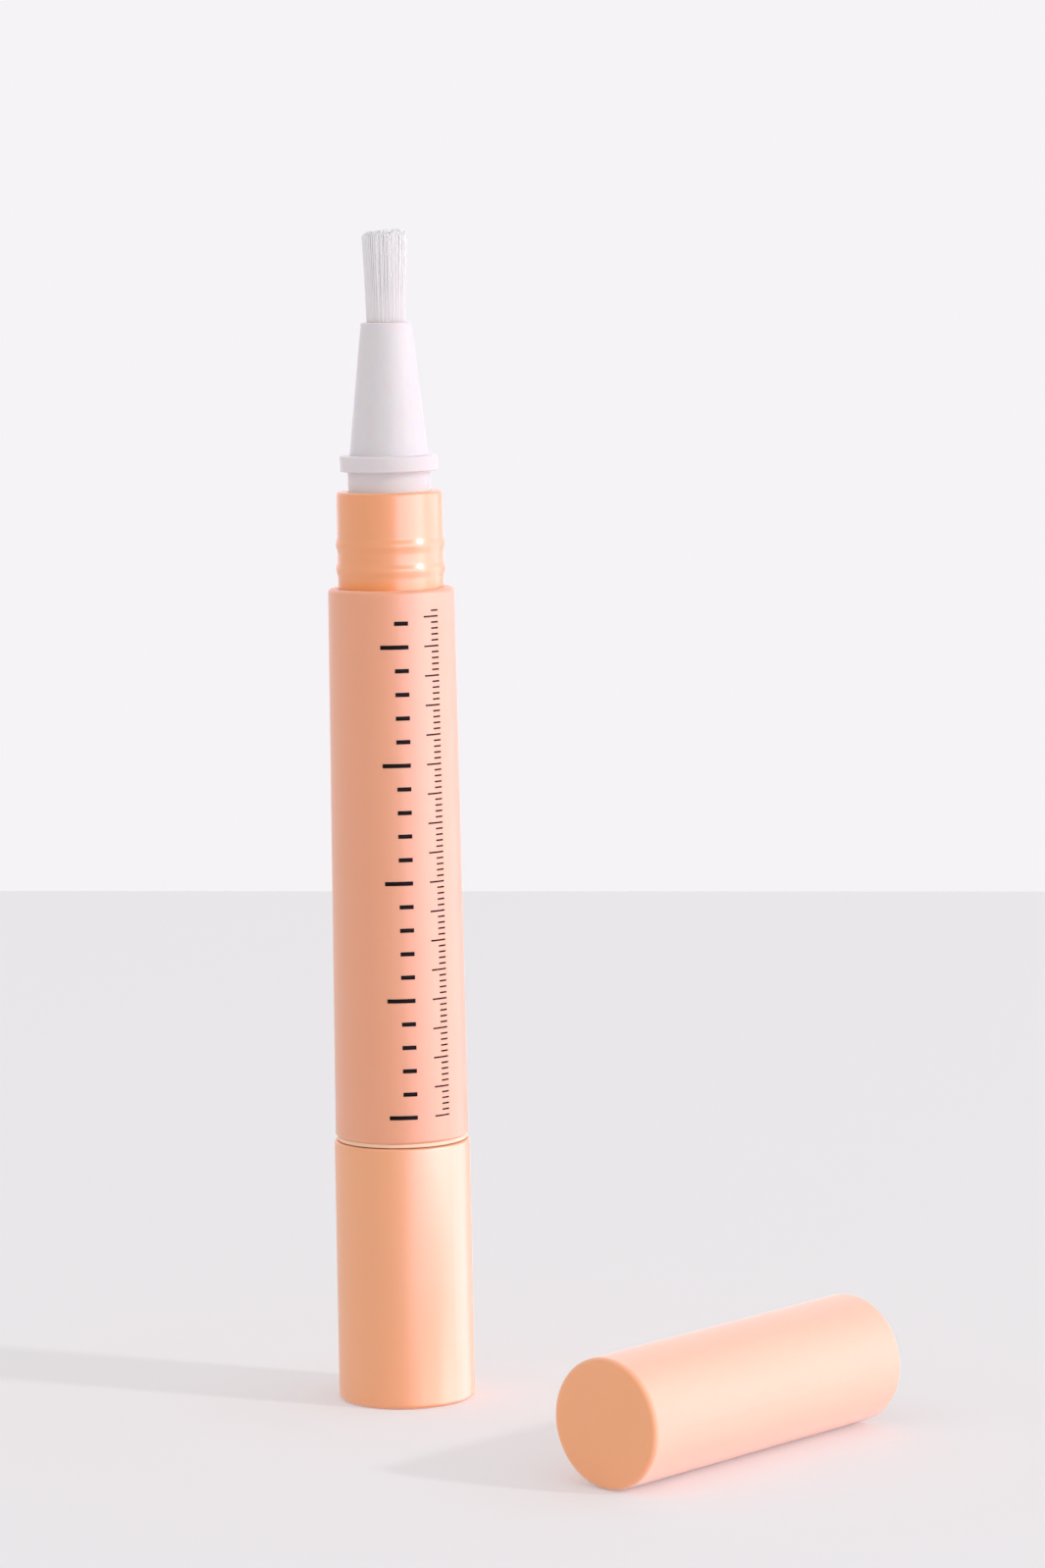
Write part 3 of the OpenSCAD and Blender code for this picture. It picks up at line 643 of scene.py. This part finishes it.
class OilPenBrush(PropertyGroup):
    """Sizes of the brush."""

    strands: a_count("Strands", "Number of strands in the tuft", 800)
    strand_radius: a_length("Strand radius", "Radius of one strand", 0.068 * MM)
    rings: a_count("Rings", "Points along one strand", 14)
    sides: a_count("Sides", "Sides of one strand", 6)
    core_radius: a_length("Core radius", "Room left for the feed tube", FEED_HIGH.x + 0.03 * MM)
    closing_length: a_length("Closing length", "Height in which strands close over the feed tube", 1.5 * MM)
    tuft_radius: a_length("Tuft radius", "Radius of the tuft in the cone's mouth", 1.66 * MM)
    flare: a_number("Flare", "Width at the tip, as a share of that at the mouth", 1.2)
    flare_bend: a_number("Flare bend", "Power by which the flare grows up the tuft", 1.2)
    root_radius: a_length("Root radius", "Radius of the melted root", TUFT_HIGH.x)
    root_thickness: a_length("Root thickness", "Thickness of the melted root", 0.6 * MM)
    cut_slant: a_length("Cut slant", "How much lower one side of the cut is", 0.22 * MM)
    cut_direction: an_angle("Cut direction", "Direction in which the cut rises", 42.0)
    edge_round: a_length("Edge round", "Radius to which the cut is rounded at its edge", 0.5 * MM)
    length_spread: a_length("Length spread", "How much strands differ in length", 0.09 * MM)
    lean: a_length("Lean", "How far a strand may lean at its tip", 0.06 * MM)
    lean_bend: a_number("Lean bend", "Power by which the lean grows up the tuft", 2.0)
    seed: a_count("Seed", "Number that sets the strands' small differences", 11)


class OilPenScrew(PropertyGroup):
    """Sizes of the lead screw."""

    radius: a_length("Radius", "Radius over the thread's crest", SCREW_HIGH.x)
    thread_depth: a_length("Thread depth", "Height of the thread", 0.32 * MM)
    pitch: a_length("Pitch", "Rise of the thread in one turn", 2.0 * MM)
    across_flats: a_length("Across flats", "Thickness across the two flats", SCREW_HIGH.y * 2)
    head_height: a_length("Head height", "Height of the head", 1.8 * MM)
    head_radius: a_length("Head radius", "Radius of the head", 1.55 * MM)
    neck_height: a_length("Neck height", "Height of the groove below the head", 0.9 * MM)
    neck_radius: a_length("Neck radius", "Radius of the groove below the head", 1.1 * MM)
    flank_steepness: a_number("Flank steepness", "How steep the flanks of the thread are", 2.2)
    overlap: a_length("Overlap", "How far the groove's rod reaches into the rods above and below", 0.1 * MM)
    sides: a_count("Sides", "Points round the rod", 64)
    rings_per_turn: a_count("Rings in a turn", "Rings along one turn of thread", 20)


def column_settings(marks, step, mark_width, mark_height, bearing):
    """The settings of one column of marks, with that column's defaults."""
    return {
        "marks": a_count("Marks", "Number of marks", marks),
        "step": a_length("Step", "Distance from mark to mark", step),
        "mark_width": a_length("Mark width", "Width of a long mark, round the sleeve", mark_width),
        "short_share": a_number("Short share", "Width of a short mark, as a share of a long one's", 0.5),
        "mark_height": a_length("Mark height", "Height of a mark, along the sleeve", mark_height),
        "long_every": a_count("Long every", "Every how many marks one is long", 5),
        "bearing": an_angle("Bearing", "Direction of the column from the axis", bearing),
    }


class OilPenCoarseColumn(PropertyGroup):
    """The column of coarse marks in the printed scale."""

    __annotations__ = column_settings(
        marks=22, step=2.0 * MM, mark_width=2.4 * MM, mark_height=0.35 * MM, bearing=-45.0
    )


class OilPenFineColumn(PropertyGroup):
    """The column of fine marks in the printed scale."""

    __annotations__ = column_settings(
        marks=87, step=0.5 * MM, mark_width=1.5 * MM, mark_height=0.14 * MM, bearing=-9.0
    )


class OilPenScale(PropertyGroup):
    """Sizes that both columns of the printed scale share."""

    first_up: a_length("First mark", "Height of the first mark above the sleeve's foot", 2.3 * MM)
    ink: a_length("Ink", "Thickness of the ink", 0.012 * MM)
    sunk: a_length("Sunk", "Depth to which a mark's back is sunk in the sleeve", 0.05 * MM)
    bends: a_count("Bends", "Points along a mark, which bend it round the sleeve", 17)
    low_radius: a_length("Low radius", "Radius of the sleeve at its foot", SLEEVE_HIGH.x)
    # The cap lies on its side and is as wide as the shoulder
    high_radius: a_length("High radius", "Radius of the sleeve at its shoulder", CAP_HIGH.z / 2)


class OilPenStudio(PropertyGroup):
    """Camera, lamps and floor."""

    distance: a_length("Camera distance", "Distance along the floor from the pen", 457.7 * MM)
    height: a_length("Camera height", "Height above the floor", 102.5 * MM)
    bearing: an_angle("Camera bearing", "Direction of the camera from the pen", -46.83)
    heading: an_angle("Camera heading", "Direction in which the camera looks", 131.81)
    pitch: an_angle("Camera pitch", "How far the camera looks down", 6.186)
    roll: an_angle("Camera roll", "How far the camera leans over", -1.0)
    lens: a_number("Lens", "Focal length in millimetres", 123.9)
    floor_back: a_length("Floor back", "Distance from the pen to the floor's far edge", 338.0 * MM)
    floor_turn: an_angle("Floor turn", "How far the floor's far edge is turned", -8.0)
    floor_reach: a_length("Floor reach", "How far the floor goes to the sides and front", 3.0)
    floor: a_colour("Floor", "Plain floor", (0.89, 0.867, 0.89))
    floor_glow: a_number("Floor glow", "Share of the floor's own light where it is seen directly", 0.3)
    backdrop: a_colour("Backdrop", "Background as the camera sees it", (0.922, 0.896, 0.930))
    room: a_number("Room light", "Strength of the light from all round", 0.77)
    key: a_number("Key lamp", "Power of the key lamp in watts", 14.0)
    side: a_number("Side lamp", "Power of the soft side lamp in watts", 1.5)
    gloss: a_number("Gloss panels", "Power of the panels that only gloss shows, in watts", 38.0)
    gloss_tint: a_colour("Gloss tint", "Colour of the panels that only gloss shows", (1.0, 0.74, 1.0))
    glint: a_number("Glint lamp", "Power of the small lamp that only gloss shows, in watts", 55.0)


class OilPenSettings(PropertyGroup):
    """All settings of the pen."""

    colours: PointerProperty(type=OilPenColours)
    brush: PointerProperty(type=OilPenBrush)
    screw: PointerProperty(type=OilPenScrew)
    scale: PointerProperty(type=OilPenScale)
    coarse: PointerProperty(type=OilPenCoarseColumn)
    fine: PointerProperty(type=OilPenFineColumn)
    studio: PointerProperty(type=OilPenStudio)


# Operators

class OilPenFinishCasings(Operator):
    """Give the sleeve, seam, knob, cap and neck their coloured plastic, with painted shade at the cap's end
    and the neck's foot, and a painted highlight in the seam
    """

    bl_idname = "oil_pen.finish_casings"
    bl_label = "Finish the casings"

    def execute(self, context):
        colours = context.scene.oil_pen.colours
        matt = skin(specular=0.48, sheen=0.35)
        satin = skin(specular=0.92, sheen=0.2)
        velvet = skin(specular=1.0, sheen=0.8)
        gloss = skin(specular=0.35, sheen=0.4, sheen_roughness=0.4, coat=0.27, coat_roughness=0.24)
        # Painted shade: a deeper colour on the cap's closed end
        painted_shade_at_cap_end = PaintedShadeEnd("y", CAP_LOW.y, colours.cap_end_painted_shade_reach, colours.cap_end_painted_shade)
        # Painted shade: a deeper colour on the neck next to the shoulder
        foot = PaintedShadeEnd("z", SLEEVE_HIGH.z, colours.neck_foot_painted_shade_reach, colours.neck_foot_painted_shade)
        dress(["outer_sleeve"], moulded_plastic("sleeve_plastic", colours.sleeve, 0.45, matt))
        # Painted highlight: the tail tube's rim, which shows in the seam, is given a pale colour in place of
        # its natural plastic
        dress(["tail_tube"], moulded_plastic("seam_painted_highlight", colours.seam, 0.5, {"Specular IOR Level": 0.4}))
        dress(["knob"], moulded_plastic("knob_plastic", colours.knob, 0.43, satin))
        dress(["cap"], moulded_plastic("cap_plastic", colours.cap, 0.74, velvet, painted_shade_end=painted_shade_at_cap_end))
        neck = moulded_plastic("neck_plastic", colours.neck, 0.45, gloss, grain=0.1, painted_shade_end=foot)
        dress(["reservoir"], neck)
        return {"FINISHED"}


class OilPenFinishNozzle(Operator):
    """Give the nozzle its translucent white plastic"""

    bl_idname = "oil_pen.finish_nozzle"
    bl_label = "Finish the nozzle"

    def execute(self, context):
        colours = context.scene.oil_pen.colours
        milky = {"Subsurface Weight": 0.5, "Subsurface Scale": 0.8 * MM, "Specular IOR Level": 0.15}
        white = moulded_plastic("nozzle_plastic", colours.nozzle, 0.4, milky, mottle=0.02, grain=0.15)
        dress(["nozzle"], white)
        return {"FINISHED"}


class OilPenFinishWorks(Operator):
    """Give the pieces inside the pen their plastics, rubber and steel"""

    bl_idname = "oil_pen.finish_works"
    bl_label = "Finish the works"

    def execute(self, context):
        colours = context.scene.oil_pen.colours
        natural = moulded_plastic("natural_plastic", colours.inner, 0.45)
        dress(["tuft_bush", "flow_plug", "piston"], natural)
        slippery = moulded_plastic("drive_plastic", colours.drive, 0.35)
        dress(["screw_nut", "ratchet_crown", "ratchet_slider", "driver_tube"], slippery)
        dress(["nozzle_seal", "piston_seals"], dark_rubber("seal_rubber", colours.seal))
        dress(["feed_tube", "ratchet_spring", "retaining_ring"], drawn_steel("steel", colours.steel))
        return {"FINISHED"}


class OilPenMakeBrush(Operator):
    """Make the tuft of nylon strands"""

    bl_idname = "oil_pen.make_brush"
    bl_label = "Make the brush"

    def execute(self, context):
        settings = context.scene.oil_pen
        nylon = nylon_strands("nylon", settings.colours.bristle, settings.colours.bristle_tip)
        brush = outward(brush_tree(settings.brush, nylon).build("brush"))
        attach(brush, "barrel")
        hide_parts("bristle_tuft")
        return {"FINISHED"}


class OilPenMakeLeadScrew(Operator):
    """Make the threaded lead screw"""

    bl_idname = "oil_pen.make_lead_screw"
    bl_label = "Make the lead screw"

    def execute(self, context):
        settings = context.scene.oil_pen
        plastic = moulded_plastic("screw_plastic", settings.colours.drive, 0.3)
        screw = outward(screw_tree(settings.screw, plastic).build("threaded_screw"))
        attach(screw, "screw")
        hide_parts("lead_screw")
        return {"FINISHED"}


class OilPenPrintScale(Operator):
    """Print the two plain columns of marks on the sleeve"""

    bl_idname = "oil_pen.print_scale"
    bl_label = "Print the scale"

    def execute(self, context):
        settings = context.scene.oil_pen
        ink = printed_ink("ink", settings.colours.ink)
        for name, column in (("coarse_marks", settings.coarse), ("fine_marks", settings.fine)):
            marks = outward(scale_tree(settings.scale, ink, column, name).build(name))
            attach(marks, "barrel")
        return {"FINISHED"}


class OilPenSetStudio(Operator):
    """Set the floor, background, lamps and camera"""

    bl_idname = "oil_pen.set_studio"
    bl_label = "Set the studio"

    def execute(self, context):
        studio = context.scene.oil_pen.studio
        context.scene.view_settings.view_transform = "Standard"
        lay_floor(studio)
        light_room(context.scene, studio)
        hang_lamps(studio)
        context.scene.camera = stand_camera(studio)
        return {"FINISHED"}


# Studio

def seen_directly(tree):
    """1 for the rays by which the camera sees a thing, also in gloss and through glass, else 0."""
    kinds = [tree.node("ShaderNodeLightPath", None, None, name)
             for name in ("Is Camera Ray", "Is Glossy Ray", "Is Transmission Ray")]
    return kinds[0].most(kinds[1]).most(kinds[2])


def lay_floor(studio):
    """A wide pale floor whose far edge shows behind the pen."""
    across = Vector((math.cos(studio.heading - math.pi / 2), math.sin(studio.heading - math.pi / 2), 0))
    across.rotate(Matrix.Rotation(studio.floor_turn, 3, "Z"))
    away = Vector((-across.y, across.x, 0))
    back = away * studio.floor_back
    front = away * -studio.floor_reach
    side = across * studio.floor_reach
    shape = bmesh.new()
    corners = [shape.verts.new(place) for place in (front - side, front + side, back + side, back - side)]
    shape.faces.new(corners)
    mesh = bpy.data.meshes.new("floor")
    shape.to_mesh(mesh)
    shape.free()
    floor = link_object("floor", mesh)
    mesh.materials.append(floor_material(studio))
    floor.visible_glossy = False


def floor_material(studio):
    """Plain matt floor that takes only a little colour from what stands on it."""
    material = bpy.data.materials.new("floor")
    material.use_nodes = True
    material.node_tree.nodes.clear()
    tree = Tree(material.node_tree)
    plain = tree.node("ShaderNodeBsdfDiffuse", None, {"Color": with_alpha(studio.floor)})
    glow = tree.node("ShaderNodeEmission", None, {"Color": with_alpha(studio.floor), "Strength": 1.0})
    share = studio.floor_glow * seen_directly(tree)
    mixed = tree.node("ShaderNodeMixShader", None, {0: share, 1: plain, 2: glow})
    tree.node("ShaderNodeOutputMaterial", None, {"Surface": mixed})
    return material


def light_room(scene, studio):
    """Even light from all round, behind a background that the camera sees as it is written."""
    world = bpy.data.worlds.new("room")
    scene.world = world
    world.use_nodes = True
    world.node_tree.nodes.clear()
    tree = Tree(world.node_tree)
    light = tree.node("ShaderNodeBackground", None, {"Color": (1, 1, 1, 1), "Strength": studio.room})
    sockets = {"Color": with_alpha(studio.backdrop), "Strength": 1.0}
    seen = tree.node("ShaderNodeBackground", None, sockets)
    mixed = tree.node("ShaderNodeMixShader", None, {0: seen_directly(tree), 1: light, 2: seen})
    tree.node("ShaderNodeOutputWorld", None, {"Surface": mixed})


class Lamp(NamedTuple):
    """Where a lamp hangs round the pen's middle, in degrees and metres, and its share of a power."""

    name: str
    bearing: float
    rise: float
    distance: float
    width: float
    share: float = 1.0


KEY_LAMP = Lamp("key_lamp", bearing=18, rise=28, distance=2.4, width=0.14)
SIDE_LAMP = Lamp("side_lamp", bearing=55, rise=25, distance=2.1, width=1.5)
GLINT_LAMP = Lamp("glint_lamp", bearing=24, rise=24, distance=2.4, width=0.15)
GLOSS_PANELS = (
    Lamp("front_panel", bearing=-2, rise=-12, distance=0.7, width=0.9),
    Lamp("side_panel", bearing=50, rise=-12, distance=0.7, width=0.9, share=0.5),
    Lamp("back_panel", bearing=133, rise=35, distance=0.7, width=1.2, share=0.12),
)


def hang_lamp(lamp, power):
    """A square soft lamp that faces the pen's middle, with its share of a power in watts."""
    bearing = math.radians(lamp.bearing)
    rise = math.radians(lamp.rise)
    flat = math.cos(rise) * lamp.distance
    outwards = Vector((math.cos(bearing) * flat, math.sin(bearing) * flat, math.sin(rise) * lamp.distance))
    light = bpy.data.lights.new(lamp.name, "AREA")
    light.energy = power * lamp.share
    light.shape = "SQUARE"
    light.size = lamp.width
    made = link_object(lamp.name, light)
    made.location = PEN_MIDDLE + outwards
    made.rotation_euler = (-outwards).to_track_quat("-Z", "Y").to_euler()
    return made


def hang_lamps(studio):
    """A key lamp that gives the shadow, a soft side lamp, and panels and a glint that only gloss shows."""
    hang_lamp(KEY_LAMP, studio.key)
    hang_lamp(SIDE_LAMP, studio.side)
    for lamp in GLOSS_PANELS:
        panel = hang_lamp(lamp, studio.gloss)
        panel.data.color = studio.gloss_tint
        panel.visible_diffuse = False
        panel.visible_camera = False
    hang_lamp(GLINT_LAMP, studio.glint).visible_diffuse = False


def stand_camera(studio):
    """Puts the camera where the photograph was taken from."""
    ahead = Vector((math.cos(studio.heading), math.sin(studio.heading), 0)) * math.cos(studio.pitch)
    ahead.z = -math.sin(studio.pitch)
    right = Vector((math.sin(studio.heading), -math.cos(studio.heading), 0))
    up = right.cross(ahead)
    right, up = (
        right * math.cos(studio.roll) + up * math.sin(studio.roll),
        up * math.cos(studio.roll) - right * math.sin(studio.roll),
    )
    lens = bpy.data.cameras.new("camera")
    lens.lens = studio.lens
    lens.sensor_width = 36.0
    lens.clip_start = 0.01
    lens.clip_end = 20.0
    camera = bpy.data.objects.new("camera", lens)
    camera.matrix_world = Matrix((right, up, -ahead)).transposed().to_4x4()
    across = Vector((math.cos(studio.bearing), math.sin(studio.bearing), 0)) * studio.distance
    camera.location = (across.x, across.y, studio.height)
    bpy.context.scene.collection.objects.link(camera)
    return camera


# Sidebar and registration

MAKERS = (
    OilPenFinishCasings,
    OilPenFinishNozzle,
    OilPenFinishWorks,
    OilPenMakeBrush,
    OilPenMakeLeadScrew,
    OilPenPrintScale,
    OilPenSetStudio,
)


def property_names(group):
    """The names of the properties that a group or its class adds."""
    return [name for name in group.bl_rna.properties.keys() if name not in ("rna_type", "name")]


class OilPenPanel(Panel):
    """Lists the steps that make the pen, and their settings"""

    bl_idname = "VIEW3D_PT_oil_pen"
    bl_label = "Oil pen"
    bl_space_type = "VIEW_3D"
    bl_region_type = "UI"
    bl_category = "Oil pen"

    def draw(self, context):
        for maker in MAKERS:
            self.layout.operator(maker.bl_idname)
        settings = context.scene.oil_pen
        for part in property_names(settings):
            group = getattr(settings, part)
            box = self.layout.box()
            box.label(text=part.capitalize())
            for name in property_names(group):
                box.prop(group, name)


GROUPS = (
    OilPenColours,
    OilPenBrush,
    OilPenScrew,
    OilPenScale,
    OilPenCoarseColumn,
    OilPenFineColumn,
    OilPenStudio,
    OilPenSettings,
)


def register():
    for group in GROUPS + MAKERS + (OilPenPanel,):
        bpy.utils.register_class(group)
    bpy.types.Scene.oil_pen = PointerProperty(type=OilPenSettings)


def unregister():
    del bpy.types.Scene.oil_pen
    for group in reversed(GROUPS + MAKERS + (OilPenPanel,)):
        bpy.utils.unregister_class(group)


def main():
    """Makes the whole pen."""
    register()
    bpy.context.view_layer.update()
    for maker in MAKERS:
        group, step = maker.bl_idname.split(".")
        getattr(getattr(bpy.ops, group), step)()


if __name__ == "__main__":
    main()
